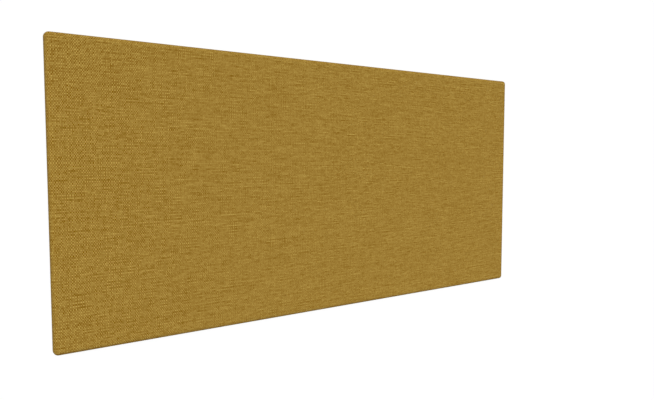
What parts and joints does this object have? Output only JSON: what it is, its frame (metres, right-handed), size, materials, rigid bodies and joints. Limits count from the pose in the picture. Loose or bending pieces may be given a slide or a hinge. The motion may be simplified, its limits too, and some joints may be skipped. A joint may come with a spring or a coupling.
{
  "type": "fabric acoustic wall panel",
  "caption": "Fabric-wrapped rectangular acoustic wall panel with softly rounded edges, a framed absorber core and keyhole hangers on the back.",
  "frame": {"origin": "centre of the flat back, on the plane that the panel lies on or hangs against", "axes": "+X along the panel's length, +Y up when the panel hangs, +Z out of the front"},
  "size_m": [1.4, 0.65, 0.025],
  "materials": {
    "cover_cloth": "matte",
    "mineral_wool": "matte",
    "frame_wood": "matte",
    "fleece": "matte",
    "zinc_steel": "satin",
    "screw_steel": "satin",
    "staple_wire": "satin"
  },
  "bodies": {
    "root": {"fabric_cover": "cover_cloth", "absorber_core": "mineral_wool", "frame_stile_left": "frame_wood", "frame_stile_right": "frame_wood", "frame_rail_top": "frame_wood", "frame_rail_bottom": "frame_wood", "backing_fleece": "fleece", "hanger_blocks_left": "frame_wood", "hanger_blocks_right": "frame_wood", "hanger_plate_left": "zinc_steel", "hanger_plate_right": "zinc_steel", "plate_screws": "screw_steel", "staples": "staple_wire"}
  },
  "joints": []
}
